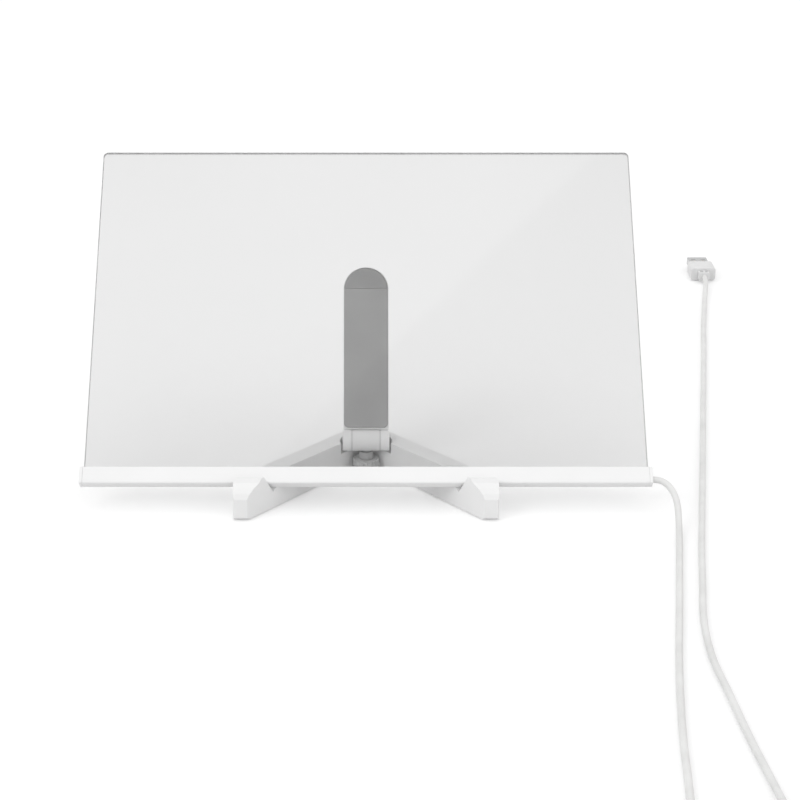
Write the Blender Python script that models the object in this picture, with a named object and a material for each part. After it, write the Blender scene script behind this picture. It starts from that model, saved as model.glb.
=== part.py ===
"""A clear edge-lit display panel on a folding V-leg stand with a padded back arm.

The panel stands in a white rail that holds its light strip and its USB lead.  The rail
sits in a groove in the front hook of each leg, and the panel leans on the arm.  The legs
fold together about one upright pin; the arm folds forward over them about a cross pin.
All sizes are millimetres.  X is right, Y is back, Z is up, and the stand rests on Z = 0.
"""
import math

import bmesh
import bpy
from mathutils import Matrix, Vector

MM = 0.001
FIT = 0.3                    # clearance between neighbouring pieces

# Panel and rail, measured up the slope and square to it
PANEL_SLOPE = 43.7           # degrees above the table
PANEL_WIDTH = 258.1
PANEL_THICK = 2.8
PANEL_HEIGHT = 172.6         # along the slope, the part inside the rail included
PANEL_CORNER = 2.4
RAIL_HEIGHT = 8.2
RAIL_WALL = 1.1
RAIL_FLOOR = 1.1
RAIL_BEVEL = 0.9
CAP_LENGTH = 1.5
CAP_TONGUE = 5.0
BOARD_THICK = 0.8
BOARD_MARGIN = 9.0           # rail end to board end
LED_COUNT = 18
LED_LENGTH = 2.8
LED_HEIGHT = 0.7
BUSH_DIAMETER = 3.8
BUSH_UP = 2.8                # rail's underside up the slope to the bush's middle
BUSH_LENGTH = 0.6

# Legs
GROOVE_Z = 8.3               # bottom of the hook's groove
RAIL_LIFT = 2.0              # groove corner to the rail's underside, up the slope
HOOK_TIP_Z = 17.8
HOOK_REACH = 5.0             # groove corner forward to the hook's tip
NOSE_DEPTH = 13.4            # groove corner forward to the hook's front face
NOSE_Z = 10.4
LEG_TOP_Z = 17.0
LEG_REAR_Z = 15.5
LEG_THICK = 9.4
LEG_SPREAD = 40.0            # degrees from straight ahead, each leg
LEG_GROUND = 0.4             # underside above the table; the feet stand proud of it
HOOK_FACE_WIDTH = 6.6        # a hook's flat front face, side to side
HUB_BACK = 40.2              # groove corner back to the upright pin
LEG_CLEAR_COLLAR = 0.4       # inner face to the ribbed collar
LEG_TAIL = 29.0              # upright pin back to the legs' rear ends
TAIL_HALF = 9.8              # the two tails' joint width is twice this
EAR_THICK = 1.3
EAR_RADIUS = 5.0
EAR_LOW_Z = 0.9
FOOT_DIAMETER = 6.0
FOOT_THICK = 1.4
FOOT_FRONT = 9.0             # front face back to the front foot
FOOT_REAR = 5.0              # rear end forward to the rear foot

# Hub
PIN_DIAMETER = 4.0
PIN_HEAD_DIAMETER = 6.4
PIN_HEAD_THICK = 0.5
COLLAR_DIAMETER = 12.4
COLLAR_HEIGHT = 3.2
COLLAR_RIBS = 20
RIB_DEPTH = 0.6
POST_DIAMETER = 6.8
BARREL_DIAMETER = 9.8
BARREL_LENGTH = 22.0
BARREL_Z = 16.3
KNUCKLE_SHARE = 12.0         # width of the middle knuckle
CROSS_PIN_DIAMETER = 3.0
WASHER_THICK = 0.5
WASHER_DIAMETER = 9.4

# Arm
ARM_LEAN = 61.4              # degrees above the table
ARM_WIDTH = 21.6
ARM_THICK = 5.4
ARM_BEHIND = 2.6             # cross pin back to the frame's front face
PAD_WIDTH = 20.4
PAD_THICK = 1.6
PAD_SINK = 1.0               # how deep the pads sit in the frame
PAD_START = 6.6              # cross pin to the pad's lower edge
PAD_CORNER = 1.9

# USB lead
CORD_DIAMETER = 3.0
COIL_X, COIL_Y = 128.0, -267.0       # from the rail's middle and the groove corner
COIL_MEAN_RADIUS = 15.0
COIL_WIDTH = 6.2
COIL_HEIGHT = 6.0
PLUG_X, PLUG_Y = 205.6, 322.0        # rear end of the strain relief
PLUG_Z = 4.1
RELIEF_WIDTH, RELIEF_HEIGHT, RELIEF_LENGTH = 6.8, 5.4, 4.8
MOULD_WIDTH, MOULD_HEIGHT, MOULD_LENGTH = 15.0, 7.8, 14.4
SHELL_WIDTH, SHELL_HEIGHT, SHELL_LENGTH = 12.0, 4.5, 12.0
SHELL_WALL = 0.4
TONGUE_THICK = 1.7
WINDOW_SIZE = 2.6
WINDOW_SPACING = 6.0

# Worked out from the sizes above
SLOPE = math.radians(PANEL_SLOPE)
SPREAD = math.radians(LEG_SPREAD)
LEAN = math.radians(ARM_LEAN)
RAIL_LENGTH = PANEL_WIDTH + 2 * (CAP_LENGTH + FIT)
RAIL_THICK = PANEL_THICK + 2 * FIT + 2 * RAIL_WALL
RAIL_BACK = FIT                                   # groove wall to the rail's back
PANEL_BACK = RAIL_BACK + RAIL_WALL + FIT
BOARD_UP = RAIL_LIFT + RAIL_FLOOR + FIT
PANEL_UP = BOARD_UP + BOARD_THICK + LED_HEIGHT + FIT
PANEL_TOP = PANEL_UP + PANEL_HEIGHT
LEG_OFFSET = COLLAR_DIAMETER / 2 + LEG_CLEAR_COLLAR    # upright pin to a leg's inner face
EAR_HIGH_Z = EAR_LOW_Z + EAR_THICK + FIT
COLLAR_Z = EAR_HIGH_Z + EAR_THICK + FIT
POST_Z = COLLAR_Z + COLLAR_HEIGHT + FIT
FRONT_Y = -NOSE_DEPTH
INNER_APEX = HUB_BACK + LEG_OFFSET / math.sin(SPREAD)  # where the legs' inner faces would meet
PAD_FACE = PAD_THICK - PAD_SINK - ARM_BEHIND      # cross pin out to the pads' face
ARM_LENGTH = ((PANEL_BACK - FIT + HUB_BACK * math.sin(SLOPE) - (BARREL_Z - GROOVE_Z) * math.cos(SLOPE)
               - PAD_FACE * math.cos(LEAN - SLOPE)) / math.sin(LEAN - SLOPE)
              + (ARM_WIDTH - PAD_WIDTH) / 2)      # cross pin to the tip, which meets the panel
HOOK_HALF_SPAN = (INNER_APEX - FRONT_Y) * math.tan(SPREAD) + HOOK_FACE_WIDTH
BACK_Y = PANEL_TOP * math.cos(SLOPE) - PANEL_BACK * math.sin(SLOPE)
CENTRE_Y = (FRONT_Y + BACK_Y) / 2                 # middle of the stand, front to back


def on_slope(up, out):
    """(y, z) of a point up the panel's slope from the groove corner and out from its back."""
    return (up * math.cos(SLOPE) - out * math.sin(SLOPE),
            GROOVE_Z + up * math.sin(SLOPE) + out * math.cos(SLOPE))


def clear_scene():
    for obj in list(bpy.data.objects):
        bpy.data.objects.remove(obj)


def material(name, colour, roughness, metallic=0.0, transmission=0.0):
    mat = bpy.data.materials.new(name)
    mat.use_nodes = True
    shader = mat.node_tree.nodes["Principled BSDF"]
    shader.inputs["Base Color"].default_value = (*colour, 1.0)
    shader.inputs["Roughness"].default_value = roughness
    shader.inputs["Metallic"].default_value = metallic
    shader.inputs["Transmission Weight"].default_value = transmission
    mat.diffuse_color = (*colour, 1.0)
    return mat


def solid_from(name, mesh_builder):
    """A new object whose mesh is filled by mesh_builder(bm), its faces turned outward."""
    mesh = bpy.data.meshes.new(name)
    bm = bmesh.new()
    mesh_builder(bm)
    bmesh.ops.recalc_face_normals(bm, faces=bm.faces)
    bm.to_mesh(mesh)
    bm.free()
    obj = bpy.data.objects.new(name, mesh)
    bpy.context.scene.collection.objects.link(obj)
    return obj


def prism(name, outline, place, low, high):
    """An outline pushed from low to high; place(u, v, w) gives (x, y, z) in mm."""
    def fill(bm):
        ends = [[bm.verts.new(Vector(place(u, v, w)) * MM) for u, v in outline]
                for w in (low, high)]
        bm.faces.new(ends[0])
        bm.faces.new(reversed(ends[1]))
        count = len(outline)
        for i in range(count):
            j = (i + 1) % count
            bm.faces.new((ends[0][j], ends[0][i], ends[1][i], ends[1][j]))
    return solid_from(name, fill)


def across(u, v, w):
    """Outline in Y and Z, pushed along X."""
    return (w, u, v)


def upright(u, v, w):
    """Outline in X and Y, pushed along Z."""
    return (u, v, w)


def sloping(u, v, w):
    """Outline up the panel's slope and out from its back, pushed along X."""
    return (w, *on_slope(u, v))


def in_panel(u, v, w):
    """Outline along X and up the slope, pushed out from the panel's back."""
    return (u, *on_slope(v, w))


def in_arm(u, v, w):
    """Outline along X and up the arm, pushed out toward the panel."""
    return (u, HUB_BACK + v * math.cos(LEAN) - w * math.sin(LEAN),
            BARREL_Z + v * math.sin(LEAN) + w * math.cos(LEAN))


def along_y(u, v, w):
    """Outline in X and Z, pushed along Y."""
    return (u, w, v)


def ring_points(radius, count, centre=(0.0, 0.0), start=0.0, sweep=360.0):
    closed = abs(sweep) >= 360.0
    steps = count if closed else count - 1
    return [(centre[0] + radius * math.cos(math.radians(start + sweep * i / steps)),
             centre[1] + radius * math.sin(math.radians(start + sweep * i / steps)))
            for i in range(count)]


def rounded_box(left, low, right, high, radii, count=7):
    """Outline of a rectangle; radii go round from the lower left corner."""
    outline = []
    corners = ((left, low, 180), (right, low, 270), (right, high, 0), (left, high, 90))
    for (x, y, start), radius in zip(corners, radii):
        if radius <= 0:
            outline.append((x, y))
            continue
        centre = (x + (radius if x == left else -radius), y + (radius if y == low else -radius))
        outline += ring_points(radius, count, centre, start, 90)
    return outline


def rod(name, diameter, low, high, place, centre=(0.0, 0.0), count=40):
    return prism(name, ring_points(diameter / 2, count, centre), place, low, high)


def combine(target, tool, operation):
    """Apply one exact boolean and drop its tool."""
    tool.hide_render = True
    tool.display_type = 'WIRE'
    modifier = target.modifiers.new(operation, 'BOOLEAN')
    modifier.operation = operation
    modifier.solver = 'EXACT'
    modifier.object = tool
    bake(target)
    bpy.data.objects.remove(tool)
    return target


def bake(obj):
    """Replace the mesh by its evaluated copy."""
    bpy.context.view_layer.update()
    shape = obj.evaluated_get(bpy.context.evaluated_depsgraph_get())
    mesh = bpy.data.meshes.new_from_object(shape)
    obj.modifiers.clear()
    obj.data = mesh


def soften(obj, width, segments=2, angle=40):
    modifier = obj.modifiers.new("edge", 'BEVEL')
    modifier.width = width * MM
    modifier.segments = segments
    modifier.limit_method = 'ANGLE'
    modifier.angle_limit = math.radians(angle)
    bake(obj)
    return obj


def dress(obj, mat, smooth=True):
    obj.data.materials.clear()
    obj.data.materials.append(mat)
    if smooth:
        obj.data.shade_smooth()
        obj.data.set_sharp_from_angle(angle=math.radians(32))
    return obj


def joint_empty(name, position):
    empty = bpy.data.objects.new(name, None)
    empty.location = Vector(position) * MM
    bpy.context.scene.collection.objects.link(empty)
    return empty


def mount(pieces, empty):
    """Put pieces under an empty, their origins on its axis."""
    for piece in pieces:
        piece.data.transform(Matrix.Translation(-empty.location))
        piece.parent = empty


# Panel and rail

def build_clear_panel(mat):
    half = PANEL_WIDTH / 2
    outline = rounded_box(-half, PANEL_UP, half, PANEL_TOP,
                          (0, 0, PANEL_CORNER, PANEL_CORNER))
    panel = prism("clear_panel", outline, in_panel, PANEL_BACK, PANEL_BACK + PANEL_THICK)
    return dress(soften(panel, 0.3, 1), mat)


def rail_section(grow=0.0):
    """The rail's outer section, its lower edges bevelled."""
    low, high = RAIL_LIFT - grow, RAIL_LIFT + RAIL_HEIGHT
    back, front = RAIL_BACK - grow, RAIL_BACK + RAIL_THICK + grow
    return rounded_box(low, back, high, front, (RAIL_BEVEL, 0.5, 0.5, RAIL_BEVEL), 5)


def build_rail_channel(mat):
    half = RAIL_LENGTH / 2 - CAP_LENGTH - FIT
    rail = prism("rail_channel", rail_section(), sloping, -half, half)
    slot_low = RAIL_LIFT + RAIL_FLOOR
    slot = [(slot_low, PANEL_BACK - FIT), (RAIL_LIFT + RAIL_HEIGHT + 2, PANEL_BACK - FIT),
            (RAIL_LIFT + RAIL_HEIGHT + 2, PANEL_BACK + PANEL_THICK + FIT),
            (slot_low, PANEL_BACK + PANEL_THICK + FIT)]
    combine(rail, prism("slot", slot, sloping, -half - 2, half + 2), 'DIFFERENCE')
    return dress(rail, mat)


def bush_centre():
    return (RAIL_LIFT + BUSH_UP, RAIL_BACK + RAIL_THICK / 2)


def build_end_cap(side, mat):
    """A cap over the rail's end with a tongue in its slot, below the panel."""
    name = "end_cap_right" if side > 0 else "end_cap_left"
    outer = side * RAIL_LENGTH / 2
    inner = side * (RAIL_LENGTH / 2 - CAP_LENGTH)
    cap = prism(name, rail_section(), sloping, min(outer, inner), max(outer, inner))
    soften(cap, 0.3, 2, 60)
    tongue_low = RAIL_LIFT + RAIL_FLOOR + FIT
    tongue_high = PANEL_UP - 1.5 * FIT
    tongue = [(tongue_low, PANEL_BACK), (tongue_high, PANEL_BACK),
              (tongue_high, PANEL_BACK + PANEL_THICK), (tongue_low, PANEL_BACK + PANEL_THICK)]
    reach = inner - side * CAP_TONGUE
    root = inner + side * CAP_LENGTH / 2
    combine(cap, prism("tongue", tongue, sloping, min(reach, root), max(reach, root)), 'UNION')
    if side > 0:
        socket = rod("socket", BUSH_DIAMETER + 2 * FIT, outer - BUSH_LENGTH - FIT, outer + 1,
                     sloping, bush_centre(), 28)
        combine(cap, socket, 'DIFFERENCE')
    return dress(cap, mat)


def build_lead_bush(mat):
    """The collar moulded on the lead where it leaves the rail's right end."""
    end = RAIL_LENGTH / 2
    bush = rod("lead_bush", BUSH_DIAMETER, end - BUSH_LENGTH, end, sloping, bush_centre(), 28)
    return dress(bush, mat)


def build_led_board(mat):
    """The light strip under the panel's edge: a thin board with a row of lamps on it."""
    half = RAIL_LENGTH / 2 - BOARD_MARGIN
    lamp_top = BOARD_UP + BOARD_THICK + LED_HEIGHT
    middle = PANEL_BACK + PANEL_THICK / 2
    wide = PANEL_THICK / 2

    def fill(bm):
        outline = [(-half, BOARD_UP), (half, BOARD_UP), (half, BOARD_UP + BOARD_THICK)]
        pitch = 2 * half / LED_COUNT
        for i in reversed(range(LED_COUNT)):
            x = -half + pitch * (i + 0.5)
            outline += [(x + LED_LENGTH / 2, BOARD_UP + BOARD_THICK), (x + LED_LENGTH / 2, lamp_top),
                        (x - LED_LENGTH / 2, lamp_top), (x - LED_LENGTH / 2, BOARD_UP + BOARD_THICK)]
        outline.append((-half, BOARD_UP + BOARD_THICK))
        ends = [[bm.verts.new(Vector(in_panel(u, v, w)) * MM) for u, v in outline]
                for w in (middle - wide, middle + wide)]
        bm.faces.new(ends[0])
        bm.faces.new(reversed(ends[1]))
        for i in range(len(outline)):
            j = (i + 1) % len(outline)
            bm.faces.new((ends[0][j], ends[0][i], ends[1][i], ends[1][j]))
    return dress(solid_from("led_board", fill), mat, smooth=False)


# Legs

def leg_profile():
    """Side view of a leg, Y and Z: flat front, rounded nose, hook, groove, sloping top."""
    tip = (-HOOK_REACH, HOOK_TIP_Z)
    nose = [(FRONT_Y, NOSE_Z),
            (FRONT_Y + 0.16 * (tip[0] - FRONT_Y), NOSE_Z + 0.30 * (HOOK_TIP_Z - NOSE_Z)),
            (FRONT_Y + 0.42 * (tip[0] - FRONT_Y), NOSE_Z + 0.55 * (HOOK_TIP_Z - NOSE_Z)),
            (FRONT_Y + 0.74 * (tip[0] - FRONT_Y), NOSE_Z + 0.76 * (HOOK_TIP_Z - NOSE_Z)),
            (tip[0] - 1.0, HOOK_TIP_Z - 0.1)]
    top_up = (LEG_TOP_Z - GROOVE_Z) / math.sin(SLOPE)
    rear = HUB_BACK + LEG_TAIL
    return ([(FRONT_Y + 1.0, LEG_GROUND), (FRONT_Y, LEG_GROUND + 1.0)] + nose
            + [tip, (tip[0] + 0.5, HOOK_TIP_Z - 0.35), (0.0, GROOVE_Z), on_slope(top_up, 0.0),
               (rear - 1.5, LEG_REAR_Z), (rear, LEG_REAR_Z - 1.5), (rear, LEG_GROUND)])


def leg_plan(side):
    """Plan view of a leg standing open, its inner face clear of the ribbed collar."""
    sin, cos = math.sin(SPREAD), math.cos(SPREAD)
    outer_apex = INNER_APEX + LEG_THICK / sin
    tan = sin / cos
    mitre = FIT / 2 + 0.05
    rear = HUB_BACK + LEG_TAIL
    front = FRONT_Y - 1.0
    outline = [(mitre, INNER_APEX - mitre / tan), ((INNER_APEX - front) * tan, front),
               (HOOK_HALF_SPAN - 1.2, front), (HOOK_HALF_SPAN, front + 2.2)]
    outline.append((HOOK_HALF_SPAN, outer_apex - HOOK_HALF_SPAN / tan))
    outline += [(TAIL_HALF, outer_apex - TAIL_HALF / tan), (TAIL_HALF, rear - 3.0),
                (TAIL_HALF - 3.0, rear), (mitre, rear)]
    return [(side * x, y) for x, y in outline]


def foot_spots(side):
    """Plan centres of a leg's two feet, on the leg's middle line."""
    sin, cos = math.sin(SPREAD), math.cos(SPREAD)
    middle_apex = HUB_BACK + (LEG_OFFSET + LEG_THICK / 2) / sin
    front_y = FRONT_Y + FOOT_FRONT
    rear_y = HUB_BACK + LEG_TAIL - FOOT_REAR
    rear_x = TAIL_HALF / 2
    return ((side * (middle_apex - front_y) * sin / cos, front_y), (side * rear_x, rear_y))


def build_leg(side, mat):
    """A leg with its hook, its ear on the upright pin and the sockets for its feet."""
    name = "leg_right" if side > 0 else "leg_left"
    reach = HOOK_HALF_SPAN + 5
    leg = prism(name, leg_profile(), across, min(0, side * reach), max(0, side * reach))
    combine(leg, prism("plan", leg_plan(side), upright, -1, HOOK_TIP_Z + 1), 'INTERSECT')
    clear_radius = math.hypot(BARREL_LENGTH, BARREL_DIAMETER) / 2 + FIT
    hub = (0.0, HUB_BACK)
    combine(leg, rod("barrel_room", 2 * clear_radius, BARREL_Z - BARREL_DIAMETER / 2 - 0.5,
                     HOOK_TIP_Z + 2, upright, hub, 64), 'DIFFERENCE')
    soften(leg, 0.4, 2, 50)
    ear_z = EAR_HIGH_Z if side > 0 else EAR_LOW_Z
    ear = rod("ear", 2 * EAR_RADIUS, ear_z, ear_z + EAR_THICK, upright, hub, 40)
    strap = [(side * -0.8, HUB_BACK), (side * EAR_RADIUS, HUB_BACK),
             (side * (LEG_OFFSET + 2.5), HUB_BACK + 6.5), (side * 0.8, HUB_BACK + 12.5)]
    combine(ear, prism("strap", strap, upright, ear_z, ear_z + EAR_THICK), 'UNION')
    combine(leg, ear, 'UNION')
    combine(leg, rod("pin_hole", PIN_DIAMETER + 2 * FIT, 0, HOOK_TIP_Z, upright, hub, 32),
            'DIFFERENCE')
    for spot in foot_spots(side):
        socket = rod("socket", FOOT_DIAMETER + 2 * FIT, -1, FOOT_THICK + FIT, upright, spot, 28)
        combine(leg, socket, 'DIFFERENCE')
    return dress(leg, mat)


def build_feet(side, mat):
    word = "right" if side > 0 else "left"
    feet = []
    for place, spot in zip(("front", "rear"), foot_spots(side)):
        foot = rod(f"foot_{word}_{place}", FOOT_DIAMETER, 0, FOOT_THICK, upright, spot, 28)
        feet.append(dress(soften(foot, 0.25, 1), mat))
    return feet


# Hub

def build_hinge_pin(mat):
    hub = (0.0, HUB_BACK)
    top = BARREL_Z - CROSS_PIN_DIAMETER / 2 - 2.0
    pin = rod("hinge_pin", PIN_DIAMETER, EAR_LOW_Z - FIT - PIN_HEAD_THICK / 2, top, upright, hub, 28)
    head = rod("head", PIN_HEAD_DIAMETER, EAR_LOW_Z - FIT - PIN_HEAD_THICK, EAR_LOW_Z - FIT,
               upright, hub, 28)
    return dress(combine(pin, head, 'UNION'), mat)


def build_ribbed_collar(mat):
    """A grip ring round the upright pin, its rim cut into upright ribs."""
    steps = COLLAR_RIBS * 4
    outline = []
    for i in range(steps):
        radius = COLLAR_DIAMETER / 2 - (RIB_DEPTH if i % 4 >= 2 else 0.0)
        angle = 2 * math.pi * i / steps
        outline.append((radius * math.cos(angle), HUB_BACK + radius * math.sin(angle)))
    collar = prism("ribbed_collar", outline, upright, COLLAR_Z, COLLAR_Z + COLLAR_HEIGHT)
    bore = rod("bore", PIN_DIAMETER + 2 * FIT, 0, 20, upright, (0.0, HUB_BACK), 32)
    return dress(combine(collar, bore, 'DIFFERENCE'), mat)


def build_hinge_post(mat):
    """The dark sleeve on the upright pin, between the ribbed collar and the barrel."""
    hub = (0.0, HUB_BACK)
    top = BARREL_Z - BARREL_DIAMETER / 2 - FIT
    post = rod("hinge_post", POST_DIAMETER, POST_Z, top, upright, hub, 40)
    bore = rod("bore", PIN_DIAMETER + 2 * FIT, 0, BARREL_Z, upright, hub, 32)
    return dress(combine(post, bore, 'DIFFERENCE'), mat)


def build_hinge_knuckle(mat):
    """The barrel's middle knuckle, which sits on the upright pin and holds the cross pin."""
    hub = (0.0, HUB_BACK)
    half = KNUCKLE_SHARE / 2
    knuckle = rod("hinge_knuckle", BARREL_DIAMETER, -half, half, across, (HUB_BACK, BARREL_Z), 40)
    top = BARREL_Z - CROSS_PIN_DIAMETER / 2 - 2.0 + FIT
    combine(knuckle, rod("pin_bore", PIN_DIAMETER + 2 * FIT, 0, top, upright, hub, 32), 'DIFFERENCE')
    combine(knuckle, rod("cross_bore", CROSS_PIN_DIAMETER + 2 * FIT, -half - 1, half + 1, across,
                         (HUB_BACK, BARREL_Z), 28), 'DIFFERENCE')
    return dress(knuckle, mat)


def knuckle_start():
    return KNUCKLE_SHARE / 2 + WASHER_THICK + 2 * FIT


def build_washer(side, mat):
    name = "washer_right" if side > 0 else "washer_left"
    near = side * (KNUCKLE_SHARE / 2 + FIT)
    far = near + side * WASHER_THICK
    centre = (HUB_BACK, BARREL_Z)
    washer = rod(name, WASHER_DIAMETER, min(near, far), max(near, far), across, centre, 36)
    bore = rod("bore", CROSS_PIN_DIAMETER + 2 * FIT, min(near, far) - 1, max(near, far) + 1,
               across, centre, 28)
    return dress(combine(washer, bore, 'DIFFERENCE'), mat)


# Arm

def arm_outline(half, low, tip, corner):
    """A strap outline with a half-round tip."""
    centre = tip - half
    return (ring_points(corner, 6, (-half + corner, low + corner), 180, 90)
            + ring_points(corner, 6, (half - corner, low + corner), 270, 90)
            + ring_points(half, 33, (0.0, centre), 0, 180))


def build_arm_frame(mat):
    """The arm's moulded frame, its two outer knuckles and the recess for its pads."""
    half = ARM_WIDTH / 2
    start = BARREL_DIAMETER / 2 + 0.5
    front = -ARM_BEHIND
    back = front - ARM_THICK
    frame = prism("arm_frame", arm_outline(half, start, ARM_LENGTH, 1.0), in_arm, back, front)
    soften(frame, 0.5, 2, 60)
    recess = arm_outline(PAD_WIDTH / 2 + FIT, PAD_START - FIT,
                         ARM_LENGTH - half + PAD_WIDTH / 2 + FIT, PAD_CORNER)
    combine(frame, prism("recess", recess, in_arm, front - PAD_SINK - FIT, front + 1), 'DIFFERENCE')
    for side in (-1, 1):
        near, far = side * knuckle_start(), side * BARREL_LENGTH / 2
        low, high = min(near, far), max(near, far)
        web_near, web_far = near + side * 0.4, far - side * 1.3
        knuckle = rod("knuckle", BARREL_DIAMETER, low, high, across, (HUB_BACK, BARREL_Z), 40)
        web = [(0.0, 0.3 - BARREL_DIAMETER / 2), (0.0, 0.0),
               (start + 1.5, front - PAD_SINK - FIT - 0.6), (start + 1.5, back + 0.6)]
        place = lambda u, v, w: in_arm(w, u, v)
        combine(knuckle, prism("web", web, place, min(web_near, web_far), max(web_near, web_far)),
                'UNION')
        combine(frame, knuckle, 'UNION')
    combine(frame, rod("cross_bore", CROSS_PIN_DIAMETER + 2 * FIT, -half - 2, half + 2, across,
                       (HUB_BACK, BARREL_Z), 28), 'DIFFERENCE')
    return dress(frame, mat)


def pad_split():
    """Up the arm: where the tip pad's straight lower edge lies."""
    return ARM_LENGTH - ARM_WIDTH / 2 + 0.6


def build_arm_pad(mat):
    half = PAD_WIDTH / 2
    low, high = -ARM_BEHIND - PAD_SINK, -ARM_BEHIND - PAD_SINK + PAD_THICK
    outline = rounded_box(-half, PAD_START, half, pad_split() - FIT,
                          (PAD_CORNER, PAD_CORNER, 0, 0))
    pad = prism("arm_pad", outline, in_arm, low, high)
    return dress(soften(pad, 0.25, 1), mat)


def build_arm_tip_pad(mat):
    half = PAD_WIDTH / 2
    low, high = -ARM_BEHIND - PAD_SINK, -ARM_BEHIND - PAD_SINK + PAD_THICK
    centre = ARM_LENGTH - ARM_WIDTH / 2
    outline = [(-half, pad_split()), (half, pad_split())]
    outline += ring_points(half, 33, (0.0, centre), 4, 172)
    pad = prism("arm_tip_pad", outline, in_arm, low, high)
    return dress(soften(pad, 0.25, 1), mat)


def build_cross_pin(mat):
    half = BARREL_LENGTH / 2 - 0.8
    pin = rod("cross_pin", CROSS_PIN_DIAMETER, -half, half, across, (HUB_BACK, BARREL_Z), 28)
    return dress(soften(pin, 0.3, 1), mat)


# USB lead

OUT_ROUTE = (            # rail's right end, down to the table and forward to the coil
    (131.5, 1.3, 13.9), (134.6, 0.8, 13.5), (137.8, -1.6, 12.2), (139.9, -6.6, 10.2),
    (140.6, -13.0, 7.7), (140.1, -21.0, 5.2), (139.2, -30.0, 3.0), (137.9, -40.0, 1.9),
    (136.5, -50.0, 1.6), (133.6, -70.0, 1.6), (130.7, -90.0, 1.6), (127.0, -115.0, 1.6),
    (123.3, -140.0, 1.6), (119.4, -170.0, 1.6), (116.0, -200.0, 1.6), (113.9, -225.0, 1.6),
    (113.0, -245.0, 1.6), (113.0, -254.2, 1.6))

BACK_ROUTE = (           # coil to the plug
    (143.0, -254.2, 1.6), (143.0, -245.0, 1.6), (142.3, -225.0, 1.6), (140.3, -200.0, 1.6),
    (138.2, -170.0, 1.6), (136.2, -140.0, 1.6), (137.7, -110.0, 1.6), (141.9, -80.0, 1.6),
    (147.0, -45.0, 1.6), (152.6, -10.0, 1.6), (158.2, 25.0, 1.6), (163.8, 60.0, 1.6),
    (169.4, 95.0, 1.6), (175.0, 130.0, 1.6), (180.6, 165.0, 1.6), (186.2, 200.0, 1.6),
    (191.6, 235.0, 1.6), (196.6, 265.0, 1.6), (200.9, 290.0, 1.9), (203.5, 304.0, 2.9),
    (205.0, 314.0, 3.9), (205.6, 321.7, 4.1))


def smooth_route(points, count):
    """Evenly spaced points on one smooth curve through the route's points."""
    pts = [Vector(p) for p in points]
    pts = [2 * pts[0] - pts[1]] + pts + [2 * pts[-1] - pts[-2]]
    dense = []
    for i in range(1, len(pts) - 2):
        a, b, c, d = pts[i - 1:i + 3]
        for k in range(16):
            t = k / 16
            dense.append(0.5 * (2 * b + (c - a) * t + (2 * a - 5 * b + 4 * c - d) * t ** 2
                                + (3 * b - a - 3 * c + d) * t ** 3))
    dense.append(pts[-2])
    lengths = [0.0]
    for p, q in zip(dense, dense[1:]):
        lengths.append(lengths[-1] + (q - p).length)
    even, j = [], 0
    for i in range(count):
        target = lengths[-1] * i / (count - 1)
        while j < len(dense) - 2 and lengths[j + 1] < target:
            j += 1
        part = (target - lengths[j]) / (lengths[j + 1] - lengths[j])
        even.append(dense[j].lerp(dense[j + 1], min(max(part, 0.0), 1.0)))
    return even


def build_lead_run(name, route, count, mat):
    curve = bpy.data.curves.new(name, 'CURVE')
    curve.dimensions = '3D'
    curve.bevel_depth = CORD_DIAMETER / 2 * MM
    curve.bevel_resolution = 2
    curve.use_fill_caps = True
    spline = curve.splines.new('POLY')
    points = smooth_route(route, count)
    spline.points.add(len(points) - 1)
    for point, place in zip(spline.points, points):
        point.co = (*(place * MM), 1.0)
    maker = bpy.data.objects.new(name + "_maker", curve)
    bpy.context.scene.collection.objects.link(maker)
    bpy.context.view_layer.update()
    shape = maker.evaluated_get(bpy.context.evaluated_depsgraph_get())
    mesh = bpy.data.meshes.new_from_object(shape)
    bpy.data.objects.remove(maker)
    bm = bmesh.new()
    bm.from_mesh(mesh)
    bmesh.ops.remove_doubles(bm, verts=bm.verts, dist=1e-6)
    bmesh.ops.recalc_face_normals(bm, faces=bm.faces)
    bm.to_mesh(mesh)
    bm.free()
    obj = bpy.data.objects.new(name, mesh)
    bpy.context.scene.collection.objects.link(obj)
    return dress(obj, mat)


def build_lead_coil(mat):
    """The coiled spare length as one turned ring with a rounded section."""
    section = rounded_box(COIL_MEAN_RADIUS - COIL_WIDTH / 2, 0.1, COIL_MEAN_RADIUS + COIL_WIDTH / 2,
                          COIL_HEIGHT + 0.1, (1.5, 1.5, 1.5, 1.5), 4)
    count = 48

    def fill(bm):
        rings = []
        for i in range(count):
            angle = 2 * math.pi * i / count
            rings.append([bm.verts.new(Vector((COIL_X + r * math.cos(angle),
                                               COIL_Y + r * math.sin(angle), z)) * MM)
                          for r, z in section])
        for i in range(count):
            here, after = rings[i], rings[(i + 1) % count]
            for j in range(len(section)):
                k = (j + 1) % len(section)
                bm.faces.new((here[j], here[k], after[k], after[j]))
    return dress(solid_from("lead_coil", fill), mat)


def plug_block(name, width, height, low, high, corner):
    """A rounded block on the plug's axis, from low to high ahead of the relief's rear end."""
    half, tall = width / 2, height / 2
    outline = rounded_box(PLUG_X - half, PLUG_Z - tall, PLUG_X + half, PLUG_Z + tall, (corner,) * 4, 5)
    return prism(name, outline, along_y, PLUG_Y + low, PLUG_Y + high)


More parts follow.
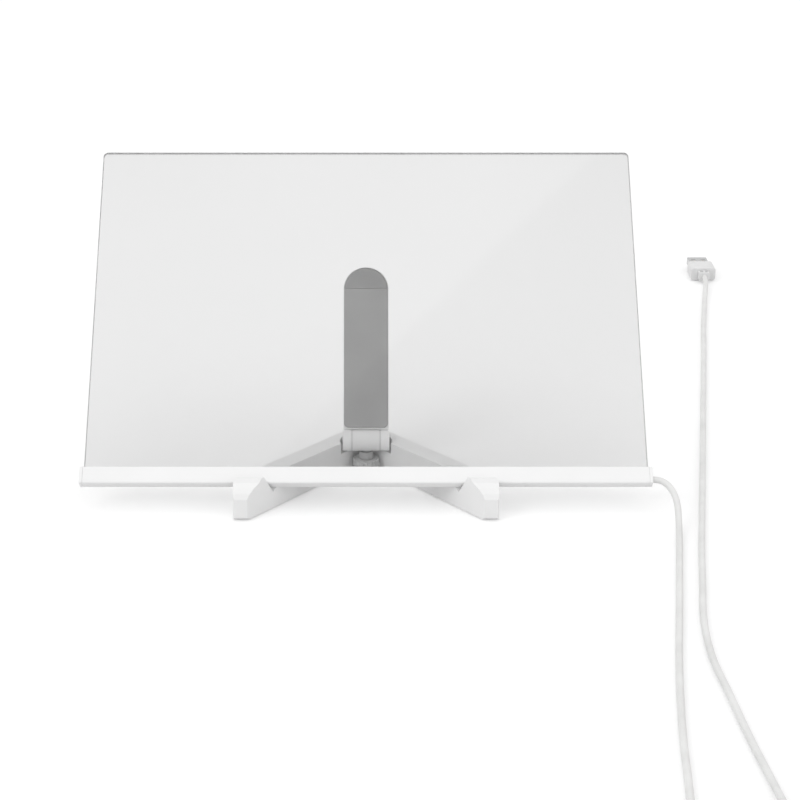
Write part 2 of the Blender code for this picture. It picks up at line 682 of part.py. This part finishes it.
def build_plug(relief_mat, mould_mat, shell_mat, tongue_mat):
    mould_start = RELIEF_LENGTH + FIT
    shell_start = mould_start + MOULD_LENGTH + FIT
    shell_end = shell_start + SHELL_LENGTH
    relief = plug_block("plug_relief", RELIEF_WIDTH, RELIEF_HEIGHT, FIT, RELIEF_LENGTH, 1.2)
    mould = plug_block("plug_mould", MOULD_WIDTH, MOULD_HEIGHT, mould_start,
                       mould_start + MOULD_LENGTH, 1.6)
    soften(mould, 0.4, 2, 60)
    shell = plug_block("plug_shell", SHELL_WIDTH, SHELL_HEIGHT, shell_start, shell_end, 0.6)
    combine(shell, plug_block("hollow", SHELL_WIDTH - 2 * SHELL_WALL, SHELL_HEIGHT - 2 * SHELL_WALL,
                              shell_start - 1, shell_end + 1, 0.3), 'DIFFERENCE')
    window_y = PLUG_Y + shell_start + SHELL_LENGTH * 0.48
    for side in (-1, 1):
        x = PLUG_X + side * WINDOW_SPACING / 2
        half = WINDOW_SIZE / 2
        hole = [(x - half, window_y - half), (x + half, window_y - half),
                (x + half, window_y + half), (x - half, window_y + half)]
        combine(shell, prism("window", hole, upright, PLUG_Z, PLUG_Z + SHELL_HEIGHT), 'DIFFERENCE')
    tongue = prism("plug_tongue", rounded_box(
        PLUG_X - SHELL_WIDTH / 2 + SHELL_WALL + FIT, PLUG_Z - SHELL_HEIGHT / 2 + SHELL_WALL + FIT,
        PLUG_X + SHELL_WIDTH / 2 - SHELL_WALL - FIT,
        PLUG_Z - SHELL_HEIGHT / 2 + SHELL_WALL + FIT + TONGUE_THICK, (0, 0, 0, 0)),
        along_y, PLUG_Y + shell_start, PLUG_Y + shell_end - 0.5)
    return (dress(relief, relief_mat), dress(mould, mould_mat), dress(shell, shell_mat),
            dress(tongue, tongue_mat, smooth=False))


def main():
    clear_scene()
    white = (0.86, 0.86, 0.86)
    light = (0.78, 0.78, 0.78)
    steel = (0.62, 0.62, 0.63)
    panel = [
        build_clear_panel(material("clear_acrylic", (0.95, 0.95, 0.95), 0.05, 0.0, 1.0)),
        build_rail_channel(material("rail_plastic", white, 0.35)),
        build_end_cap(-1, material("cap_plastic_left", white, 0.35)),
        build_end_cap(1, material("cap_plastic_right", white, 0.35)),
        build_led_board(material("board_laminate", (0.8, 0.8, 0.74), 0.5)),
        build_lead_bush(material("bush_plastic", light, 0.45))]
    left = [build_leg(-1, material("leg_plastic_left", white, 0.4))]
    left += build_feet(-1, material("foot_rubber_left", (0.2, 0.2, 0.2), 0.8))
    right = [build_leg(1, material("leg_plastic_right", white, 0.4))]
    right += build_feet(1, material("foot_rubber_right", (0.2, 0.2, 0.2), 0.8))
    hub = [
        build_hinge_pin(material("pin_steel", steel, 0.3, 1.0)),
        build_ribbed_collar(material("collar_rubber", (0.25, 0.25, 0.25), 0.6)),
        build_hinge_post(material("post_plastic", (0.3, 0.3, 0.3), 0.45)),
        build_hinge_knuckle(material("knuckle_plastic", white, 0.4))]
    hub += [build_washer(side, material(f"washer_nylon_{side}", (0.75, 0.75, 0.75), 0.5))
            for side in (-1, 1)]
    arm = [
        build_arm_frame(material("arm_plastic", white, 0.4)),
        build_arm_pad(material("pad_rubber", (0.33, 0.33, 0.33), 0.75)),
        build_arm_tip_pad(material("tip_rubber", (0.28, 0.28, 0.28), 0.75)),
        build_cross_pin(material("cross_pin_steel", steel, 0.3, 1.0))]
    cord_mat = material("cord_sheath", light, 0.5)
    lead = [
        build_lead_run("lead_run_out", OUT_ROUTE, 60, cord_mat),
        build_lead_coil(material("coil_sheath", light, 0.5)),
        build_lead_run("lead_run_back", BACK_ROUTE, 78, material("cord_sheath_back", light, 0.5))]
    lead += build_plug(material("relief_plastic", light, 0.5), material("mould_plastic", light, 0.45),
                       material("shell_steel", steel, 0.3, 1.0),
                       material("tongue_plastic", (0.7, 0.7, 0.7), 0.5))

    groove_mid = on_slope(RAIL_LIFT, RAIL_BACK)
    mount(panel, joint_empty("panel_axis", (0.0, *groove_mid)))
    mount(left, joint_empty("left_leg_axis", (0.0, HUB_BACK, 0.0)))
    mount(right, joint_empty("right_leg_axis", (0.0, HUB_BACK, 0.0)))
    mount(hub, joint_empty("hub_axis", (0.0, HUB_BACK, 0.0)))
    mount(arm, joint_empty("arm_axis", (0.0, HUB_BACK, BARREL_Z)))
    mount(lead, joint_empty("lead_start", (0.0, 0.0, 0.0)))
    for empty in [o for o in bpy.data.objects if o.type == 'EMPTY']:
        empty.location.y -= CENTRE_Y * MM
    bpy.context.view_layer.update()


main()
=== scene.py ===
import math

import bmesh
import bpy
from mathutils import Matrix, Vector


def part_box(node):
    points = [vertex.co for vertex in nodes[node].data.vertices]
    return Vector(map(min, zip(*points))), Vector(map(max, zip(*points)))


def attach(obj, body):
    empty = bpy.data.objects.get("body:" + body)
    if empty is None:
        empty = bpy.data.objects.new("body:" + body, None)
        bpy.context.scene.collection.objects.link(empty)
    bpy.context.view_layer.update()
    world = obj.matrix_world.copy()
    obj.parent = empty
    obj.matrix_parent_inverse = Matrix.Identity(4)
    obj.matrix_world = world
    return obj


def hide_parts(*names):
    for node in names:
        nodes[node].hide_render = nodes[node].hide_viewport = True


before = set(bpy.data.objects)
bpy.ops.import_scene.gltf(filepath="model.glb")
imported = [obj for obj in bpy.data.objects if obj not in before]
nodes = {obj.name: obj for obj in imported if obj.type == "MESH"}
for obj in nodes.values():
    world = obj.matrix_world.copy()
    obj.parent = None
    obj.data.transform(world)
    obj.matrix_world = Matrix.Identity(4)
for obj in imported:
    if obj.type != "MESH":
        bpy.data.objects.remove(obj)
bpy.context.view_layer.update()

MM = 0.001
scene = bpy.context.scene

# Camera: a short telephoto view from the front and above, square to the rail, its
# frame moved a little toward the lead's side.
camera_data = bpy.data.cameras.new("camera")
camera_data.sensor_width = 36.0
camera_data.lens = 90.0
camera_data.shift_x = 0.0425
camera_data.clip_start = 0.05
camera = bpy.data.objects.new("camera", camera_data)
camera.location = (0.0, -0.8893, 0.3899)
tilt_down = math.radians(22.0)
camera.rotation_euler = (math.pi / 2 - tilt_down, 0.0, 0.0)
scene.collection.objects.link(camera)
scene.camera = camera
scene.view_settings.view_transform = 'Standard'

# USB lead: round flexible PVC cable, 3 mm thick, moulded to the plug at one end and
# led out of the rail's right end at the other.  Its spare length lies in a neat coil.
CORD_RADIUS = 1.5 * MM
DEPTH_SHIFT = 56.985                 # groove corner back to the stand's middle
OUT_ROUTE = (
    (130.85, 1.3, 13.9), (134.6, 0.8, 13.5), (137.8, -1.6, 12.2), (139.9, -6.6, 10.2),
    (140.6, -13.0, 7.7), (140.1, -21.0, 5.2), (139.2, -30.0, 3.0), (137.9, -40.0, 1.9),
    (136.5, -50.0, 1.6), (133.6, -70.0, 1.6), (130.7, -90.0, 1.6), (127.0, -115.0, 1.6),
    (123.3, -140.0, 1.6), (119.4, -170.0, 1.6), (116.0, -200.0, 1.6), (113.9, -225.0, 1.6),
    (112.2, -245.0, 1.6), (111.6, -256.0, 1.6))
BACK_ROUTE = (
    (144.4, -256.0, 4.4), (143.9, -245.0, 3.0), (142.6, -225.0, 1.7), (140.3, -200.0, 1.6),
    (138.2, -170.0, 1.6), (136.2, -140.0, 1.6), (137.7, -110.0, 1.6), (141.9, -80.0, 1.6),
    (147.0, -45.0, 1.6), (152.6, -10.0, 1.6), (158.2, 25.0, 1.6), (163.8, 60.0, 1.6),
    (169.4, 95.0, 1.6), (175.0, 130.0, 1.6), (180.6, 165.0, 1.6), (186.2, 200.0, 1.6),
    (191.6, 235.0, 1.6), (196.6, 265.0, 1.6), (200.9, 290.0, 1.9), (203.5, 304.0, 2.9),
    (205.0, 314.0, 3.9), (205.6, 322.1, 4.1))
COIL_CENTRE = (128.0, -267.0)
COIL_TURNS = 3.5
COIL_STEPS = 24                      # points in one turn
COIL_RADIUS = 16.45                  # an outer turn
COIL_PITCH = 3.1                     # between two turns side by side
COIL_RISE = 3.0                      # from the turns on the table to those on top
COIL_EASE = 0.6                      # the share of a turn that such a change takes
LYING_Z = 1.6                        # the cord's middle where it lies on the table


def eased(turn, start):
    """How much of a change that begins at start is done by turn, from 0 to 1."""
    return min(max(turn - start, 0.0) / COIL_EASE, 1.0)


def coil_points():
    """Two turns side by side on the table, then the rest on top of them."""
    points = []
    for i in range(int(COIL_TURNS * COIL_STEPS) + 1):
        turn = i / COIL_STEPS
        angle = math.pi + 2 * math.pi * turn
        radius = COIL_RADIUS - COIL_PITCH * (eased(turn, 0.7) - eased(turn, 2.7))
        points.append((COIL_CENTRE[0] + radius * math.cos(angle),
                       COIL_CENTRE[1] + radius * math.sin(angle),
                       LYING_Z + COIL_RISE * eased(turn, 1.7)))
    return points


def smooth_route(points, per_span=6):
    """Points on one smooth curve through the route, in metres in the stand's frame."""
    pts = [Vector(p) for p in points]
    pts = [2 * pts[0] - pts[1]] + pts + [2 * pts[-1] - pts[-2]]
    route = []
    for i in range(1, len(pts) - 2):
        a, b, c, d = pts[i - 1:i + 3]
        for k in range(per_span):
            t = k / per_span
            route.append(0.5 * (2 * b + (c - a) * t + (2 * a - 5 * b + 4 * c - d) * t ** 2
                                + (3 * b - a - 3 * c + d) * t ** 3))
    route.append(pts[-2])
    return [Vector((p.x, p.y - DEPTH_SHIFT, p.z)) * MM for p in route]


def add_curve(name, points, radius):
    curve = bpy.data.curves.new(name, 'CURVE')
    curve.dimensions = '3D'
    curve.bevel_depth = radius
    curve.bevel_resolution = 4
    curve.use_fill_caps = True
    spline = curve.splines.new('POLY')
    spline.points.add(len(points) - 1)
    for point, place in zip(spline.points, points):
        point.co = (*place, 1.0)
        point.radius = 1.0
    piece = bpy.data.objects.new(name, curve)
    scene.collection.objects.link(piece)
    return piece


def linear(hex_colour):
    """An sRGB hex colour as linear RGBA."""
    values = [int(hex_colour[i:i + 2], 16) / 255 for i in (1, 3, 5)]
    return (*[v / 12.92 if v <= 0.04045 else ((v + 0.055) / 1.055) ** 2.4 for v in values], 1.0)


def add_node(tree, kind, settings=None, **inputs):
    """A node with its settings; each input, named with _ for a space, is a value or a socket."""
    node = tree.nodes.new(kind)
    for key, value in (settings or {}).items():
        setattr(node, key, value)
    for key, value in inputs.items():
        if key.startswith("input"):
            socket = node.inputs[int(key[5:])]
        else:
            socket = node.inputs[key.replace("_", " ")]
        if isinstance(value, bpy.types.NodeSocket):
            tree.links.new(value, socket)
        else:
            socket.default_value = value
    return node


def new_material(name, roughness, metallic=0.0, ior=None):
    mat = bpy.data.materials.new(name)
    mat.use_nodes = True
    shader = mat.node_tree.nodes["Principled BSDF"]
    shader.inputs["Roughness"].default_value = roughness
    shader.inputs["Metallic"].default_value = metallic
    if ior:
        shader.inputs["IOR"].default_value = ior
    return mat, mat.node_tree, shader


def add_noise(tree, grain_mm, detail, place=None):
    """Noise with grains of about grain_mm, fixed to the piece unless a place is given."""
    if place is None:
        place = add_node(tree, 'ShaderNodeTexCoord').outputs["Object"]
    return add_node(tree, 'ShaderNodeTexNoise', Vector=place, Scale=1000 / grain_mm,
                    Detail=detail).outputs[0]


def add_tone(tree, shader, factor, first, second):
    """A base colour that drifts from the first hex colour to the second."""
    tone = add_node(tree, 'ShaderNodeMix', {"data_type": 'RGBA'}, Factor=factor,
                    input6=linear(first), input7=linear(second))
    tree.links.new(tone.outputs[2], shader.inputs["Base Color"])


def add_relief(tree, shader, height, depth_mm, strength):
    """Fine relief, as deep as depth_mm where the height is greatest."""
    relief = add_node(tree, 'ShaderNodeBump', Height=height, Distance=depth_mm * MM,
                      Strength=strength)
    tree.links.new(relief.outputs[0], shader.inputs["Normal"])


def mottled(name, pale, deep, patch_mm, grain_mm, grain_height_mm, roughness, spread, ior=1.5):
    """A moulded surface: soft colour patches, a fine grain in relief and uneven gloss."""
    mat, tree, shader = new_material(name, roughness, ior=ior)
    colour = add_node(tree, 'ShaderNodeValToRGB', input0=add_noise(tree, patch_mm, 3.0))
    colour.color_ramp.elements[0].position = 0.3
    colour.color_ramp.elements[0].color = linear(deep)
    colour.color_ramp.elements[1].position = 0.7
    colour.color_ramp.elements[1].color = linear(pale)
    tree.links.new(colour.outputs["Color"], shader.inputs["Base Color"])
    grain = add_noise(tree, grain_mm, 2.0)
    gloss = add_node(tree, 'ShaderNodeMapRange', Value=grain, To_Min=roughness - spread,
                     To_Max=roughness + spread)
    tree.links.new(gloss.outputs[0], shader.inputs["Roughness"])
    add_relief(tree, shader, grain, grain_height_mm, 0.6)
    return mat


# Pale grey PVC extruded round the wires: satin, with a faint drawn unevenness.
sheath = mottled("extruded_pale_grey_pvc", "#e9e9e8", "#dededd", 14, 1.2, 0.02, 0.46, 0.06, 1.53)
cord_line = (smooth_route(OUT_ROUTE)[:-1] + smooth_route(coil_points(), 2)
             + smooth_route(BACK_ROUTE)[1:])
lead = add_curve("usb_lead", cord_line, CORD_RADIUS)
lead.data.materials.append(sheath)
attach(lead, "panel")
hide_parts("lead_run_out", "lead_coil", "lead_run_back")


def set_material(names, mat, sharp_angle=32):
    """Give CAD nodes their finish and smooth their round faces."""
    for name in names:
        mesh = nodes[name].data
        mesh.materials.clear()
        mesh.materials.append(mat)
        mesh.shade_smooth()
        mesh.set_sharp_from_angle(angle=math.radians(sharp_angle))


# USB plug: a moulded PVC grip and ribbed strain relief on a pressed, nickel-plated
# steel shell, with four gold-plated contacts on a white tongue inside it.
grip = mottled("moulded_pale_grey_pvc", "#e8e8e8", "#dfdfdf", 9, 0.5, 0.02, 0.42, 0.06, 1.53)
set_material(("plug_mould", "plug_relief"), grip)

nickel, tree, shader = new_material("pressed_nickel_plated_steel", 0.26, 1.0)
place = add_node(tree, 'ShaderNodeTexCoord').outputs["Object"]
stretched = add_node(tree, 'ShaderNodeMapping', Vector=place, Scale=(1.0, 0.08, 1.0))
brush = add_noise(tree, 0.25, 4.0, stretched.outputs[0])
add_tone(tree, shader, brush, "#c4c5c6", "#d6d6d6")
add_relief(tree, shader, brush, 0.01, 0.4)
set_material(("plug_shell",), nickel)

tongue_plastic = mottled("moulded_white_nylon", "#ececea", "#e2e2df", 4, 0.3, 0.01, 0.4, 0.05)
set_material(("plug_tongue",), tongue_plastic)

gold, tree, shader = new_material("gold_plated_contact", 0.22, 1.0)
add_tone(tree, shader, add_noise(tree, 0.6, 3.0), "#d9b15a", "#ecc878")


def add_mesh(name, fill, mat, smooth=True):
    mesh = bpy.data.meshes.new(name)
    bm = bmesh.new()
    fill(bm)
    bmesh.ops.recalc_face_normals(bm, faces=bm.faces)
    bm.to_mesh(mesh)
    bm.free()
    piece = bpy.data.objects.new(name, mesh)
    scene.collection.objects.link(piece)
    mesh.materials.append(mat)
    if smooth:
        mesh.shade_smooth()
        mesh.set_sharp_from_angle(angle=math.radians(35))
    return piece


def box_corners(bm, low, high, bevel=0.0):
    """A box from low to high with its edges softened."""
    made = bmesh.ops.create_cube(bm, size=1.0)["verts"]
    middle, size = (low + high) / 2, high - low
    for vert in made:
        vert.co = middle + Vector(vert.co[i] * size[i] for i in range(3))
    if bevel:
        edges = list({edge for vert in made for edge in vert.link_edges})
        bmesh.ops.bevel(bm, geom=edges, offset=bevel, segments=2, affect='EDGES')


tongue_low, tongue_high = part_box("plug_tongue")
CONTACTS = 4
CONTACT_HALF = 0.6 * MM              # half a contact's width
CONTACT_ROOM = Vector((0.0, 1.0, 0.1)) * MM   # in from the tongue's rear, and sunk into it
CONTACT_TIP = Vector((0.0, -0.6, 0.12)) * MM  # in from the tongue's tip, and proud of it


def fill_contacts(bm):
    pitch = (tongue_high.x - tongue_low.x) / (CONTACTS + 0.4)
    middle = (tongue_low.x + tongue_high.x) / 2
    for i in range(CONTACTS):
        x = middle + (i - (CONTACTS - 1) / 2) * pitch
        box_corners(bm, Vector((x - CONTACT_HALF, tongue_low.y + CONTACT_ROOM.y,
                                tongue_high.z - CONTACT_ROOM.z)),
                    Vector((x + CONTACT_HALF, tongue_high.y + CONTACT_TIP.y,
                            tongue_high.z + CONTACT_TIP.z)), 0.05 * MM)


contacts = add_mesh("plug_contacts", fill_contacts, gold)
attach(contacts, "panel")

# Dark boxes as painted shade in the slots across the strain relief, which is moulded so that it
# bends without kinking.
relief_low, relief_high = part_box("plug_relief")
slot_shade = mottled("shaded_relief_slot", "#6d6d6d", "#626262", 3, 0.4, 0.01, 0.7, 0.05)
SLOT_SHARES = (0.35, 0.68)           # along the relief's length
SLOT_ASIDE = 1.45 * MM               # a slot's middle from the relief's middle
SLOT_HALF = Vector((0.95, 0.35, 0.0)) * MM
SLOT_SINK, SLOT_STAND = 0.3 * MM, 0.03 * MM


def fill_slots(bm):
    middle = (relief_low + relief_high) / 2
    for share in SLOT_SHARES:
        for side in (-1, 1):
            x = middle.x + side * SLOT_ASIDE
            y = relief_low.y + share * (relief_high.y - relief_low.y)
            top = Vector((x, y, relief_high.z))
            box_corners(bm, top - SLOT_HALF - Vector((0, 0, SLOT_SINK)),
                        top + SLOT_HALF + Vector((0, 0, SLOT_STAND)), 0.1 * MM)


slots = add_mesh("relief_slot_painted_shade", fill_slots, slot_shade)
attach(slots, "panel")

# Clear panel: one sheet of cast acrylic, laser cut and flame polished, pushed into the
# rail's slot.  Its edges carry a painted grey shade for the light they bend, and read as fine grey
# lines.
acrylic = bpy.data.materials.new("cast_clear_acrylic")
acrylic.use_nodes = True
tree = acrylic.node_tree
shader = tree.nodes["Principled BSDF"]
shader.inputs["IOR"].default_value = 1.49
shader.inputs["Transmission Weight"].default_value = 1.0
add_tone(tree, shader, add_noise(tree, 160, 1.0), "#e9e9e9", "#efefef")
gloss = add_node(tree, 'ShaderNodeMapRange', Value=add_noise(tree, 6, 5.0), To_Min=0.015,
                 To_Max=0.05)
tree.links.new(gloss.outputs[0], shader.inputs["Roughness"])
path = add_node(tree, 'ShaderNodeLightPath')
passing = add_node(tree, 'ShaderNodeBsdfTransparent', Color=linear("#f0f0f0"))
mixed = add_node(tree, 'ShaderNodeMixShader', input0=path.outputs["Is Shadow Ray"],
                 input1=shader.outputs[0], input2=passing.outputs[0])
tree.links.new(mixed.outputs[0], tree.nodes["Material Output"].inputs["Surface"])
set_material(("clear_panel",), acrylic, 20)

# The panel's edge faces: a grey painted shade that stands in for the light the edges bend.
edge_painted_shade, tree, shader = new_material("acrylic_edge_painted_shade", 0.5, ior=1.49)
shader.inputs["Transmission Weight"].default_value = 0.35
add_tone(tree, shader, add_noise(tree, 1.5, 2.0), "#c9c9c9", "#d6d6d6")
sheet = nodes["clear_panel"].data
sheet.materials.append(edge_painted_shade)
sheet_normal = max(sheet.polygons, key=lambda face: face.area).normal.copy()
for face in sheet.polygons:
    if abs(face.normal.dot(sheet_normal)) < 0.9:
        face.material_index = 1

# Rail: an ABS channel with a cap pressed into each end, moulded white with a light
# satin grain.  It grips the panel and hides the strip of lamps that lights its edge.
PRESS_FIT = 0.26 * MM                # how far a pressed piece closes the gap at each end
ALONG_RAIL = (Vector((1, 0, 0)), Vector((-1, 0, 0)))


def fitted(name, body, directions=ALONG_RAIL):
    """A node's visible copy, its outermost faces moved outward to meet its neighbours."""
    node = nodes[name]
    piece = bpy.data.objects.new(name + "_fitted", node.data.copy())
    places = [node.matrix_world @ vert.co for vert in node.data.vertices]
    for way in directions:
        furthest = max(place.dot(way) for place in places)
        places = [place + PRESS_FIT * way if furthest - place.dot(way) < PRESS_FIT else place
                  for place in places]
    for vert, place in zip(piece.data.vertices, places):
        vert.co = place
    scene.collection.objects.link(piece)
    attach(piece, body)
    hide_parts(name)


rail_abs = mottled("moulded_white_abs", "#f3f3f3", "#eeeeee", 45, 0.7, 0.012, 0.38, 0.05, 1.54)
set_material(("rail_channel", "end_cap_left", "end_cap_right", "lead_bush"), rail_abs)
fitted("rail_channel", "panel")
board_mask = mottled("white_solder_mask", "#f2f2ea", "#e6e6dc", 8, 0.6, 0.01, 0.5, 0.08)
set_material(("led_board",), board_mask)

# Legs: two ABS mouldings, each with a hook whose groove holds the rail, turning on
# one steel pin.  Rubber feet are pressed into sockets under them.
leg_abs = mottled("moulded_satin_white_abs", "#f1f1f1", "#ebebeb", 30, 0.6, 0.016, 0.44, 0.06,
                  1.54)
set_material(("leg_left", "leg_right"), leg_abs)
foot_rubber = mottled("moulded_grey_rubber", "#4c4c4c", "#434343", 5, 0.4, 0.03, 0.82, 0.06)
set_material([name for name in nodes if name.startswith("foot_")], foot_rubber)

# Hub: a turned steel pin carries both legs, a ribbed rubber grip ring, a dark nylon
# sleeve and the middle knuckle of the arm's hinge, with a thin washer at each end.
turned, tree, shader = new_material("turned_bright_steel", 0.3, 1.0)
rings = add_noise(tree, 0.4, 3.0)
add_tone(tree, shader, rings, "#b9babb", "#cfcfd0")
add_relief(tree, shader, rings, 0.006, 0.5)
set_material(("hinge_pin", "cross_pin"), turned)
collar_rubber = mottled("ribbed_grey_rubber", "#c6c6c6", "#bababa", 5, 0.4, 0.03, 0.7, 0.06)
set_material(("ribbed_collar",), collar_rubber, 25)
post_nylon = mottled("moulded_grey_nylon", "#a8a8a8", "#9e9e9e", 6, 0.5, 0.02, 0.5, 0.06)
washer_nylon = mottled("stamped_white_nylon", "#e0e0e0", "#d6d6d6", 4, 0.4, 0.01, 0.5, 0.05)
set_material(("washer_left", "washer_right"), washer_nylon)
for name in ("washer_left", "washer_right", "hinge_knuckle"):
    fitted(name, "hub")
set_material(("hinge_post",), post_nylon)

# Arm: a white ABS strap with a soft rubber pad bonded into its recess, so that the
# panel doesn't slip; the rounded tip has a pad of its own, its darker grey a painted shade where
# the tip bends back.
arm_abs = mottled("arm_moulded_white_abs", "#f7f7f7", "#f2f2f2", 25, 0.6, 0.014, 0.42, 0.06,
                  1.54)
set_material(("arm_frame", "hinge_knuckle"), arm_abs)


def soft_touch(name, pale, deep):
    """Silicone rubber with an even, dull, finely pitted skin."""
    return mottled(name, pale, deep, 22, 0.45, 0.05, 0.78, 0.08, 1.43)


set_material(("arm_pad",), soft_touch("grey_silicone_pad", "#aeaeae", "#a4a4a4"))
# The tip pad's darker grey is painted shade where the rounded tip turns away from the light.
set_material(("arm_tip_pad",), soft_touch("silicone_tip_painted_shade", "#a2a2a2", "#979797"))
tip_middle, pad_middle = (sum(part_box(name), Vector()) / 2 for name in ("arm_tip_pad", "arm_pad"))
down_arm = (pad_middle - tip_middle).normalized()
for name in ("arm_pad", "arm_tip_pad"):
    fitted(name, "arm", (*ALONG_RAIL, down_arm))

# Floor and light: a wide pale table top under large soft lamps, the strongest from
# the left and in front, as in a small product studio.
GLOW_SEEN, GLOW_THROUGH = 0.32, 0.23  # the floor's own light, seen and through the panel
FLOOR_HALF = 6.0
FLOOR_DROP = 0.0002                  # below the feet, so that the faces don't coincide
LAMP_AIM = Vector((0.0, 0.0, 0.05))
floor_mat = bpy.data.materials.new("pale_table_top")
floor_mat.use_nodes = True
tree = floor_mat.node_tree
shader = tree.nodes["Principled BSDF"]
shader.inputs["Roughness"].default_value = 0.9
shader.inputs["Specular IOR Level"].default_value = 0.1
add_tone(tree, shader, add_noise(tree, 300, 2.0), "#dbdbdb", "#dfdfdf")
path = add_node(tree, 'ShaderNodeLightPath')
seen = add_node(tree, 'ShaderNodeMath', {"operation": 'MULTIPLY'},
                input0=path.outputs["Is Camera Ray"], input1=GLOW_SEEN)
through = add_node(tree, 'ShaderNodeMath', {"operation": 'MULTIPLY'},
                   input0=path.outputs["Is Glossy Ray"], input1=GLOW_THROUGH)
glow = add_node(tree, 'ShaderNodeMath', {"operation": 'MAXIMUM'}, input0=seen.outputs[0],
                input1=through.outputs[0])
tree.links.new(glow.outputs[0], shader.inputs["Emission Strength"])
shader.inputs["Emission Color"].default_value = (1.0, 1.0, 1.0, 1.0)


def fill_floor(bm):
    bmesh.ops.create_grid(bm, x_segments=1, y_segments=1, size=FLOOR_HALF)


floor = add_mesh("table_top", fill_floor, floor_mat, smooth=False)
floor.location.z = -FLOOR_DROP

world = bpy.data.worlds.new("studio")
world.use_nodes = True
scene.world = world
tree = world.node_tree
background = tree.nodes["Background"]
path = add_node(tree, 'ShaderNodeLightPath')
seen = add_node(tree, 'ShaderNodeMath', {"operation": 'MAXIMUM'},
                input0=path.outputs["Is Camera Ray"], input1=path.outputs["Is Transmission Ray"])
strength = add_node(tree, 'ShaderNodeMapRange', Value=seen.outputs[0], To_Min=0.85, To_Max=1.0)
background.inputs["Color"].default_value = (1.0, 1.0, 1.0, 1.0)
tree.links.new(strength.outputs[0], background.inputs["Strength"])


def add_lamp(name, place, size, power):
    """A large square soft lamp aimed at the stand."""
    data = bpy.data.lights.new(name, 'AREA')
    data.size = size
    data.energy = power
    lamp = bpy.data.objects.new(name, data)
    lamp.location = place
    lamp.rotation_euler = (LAMP_AIM - Vector(place)).to_track_quat('-Z', 'Y').to_euler()
    scene.collection.objects.link(lamp)


add_lamp("key_lamp", (-1.5, -1.3, 1.5), 1.0, 10)
add_lamp("top_lamp", (-0.4, 0.4, 2.2), 2.4, 6)
add_lamp("fill_lamp", (1.6, -1.2, 0.9), 1.2, 3)
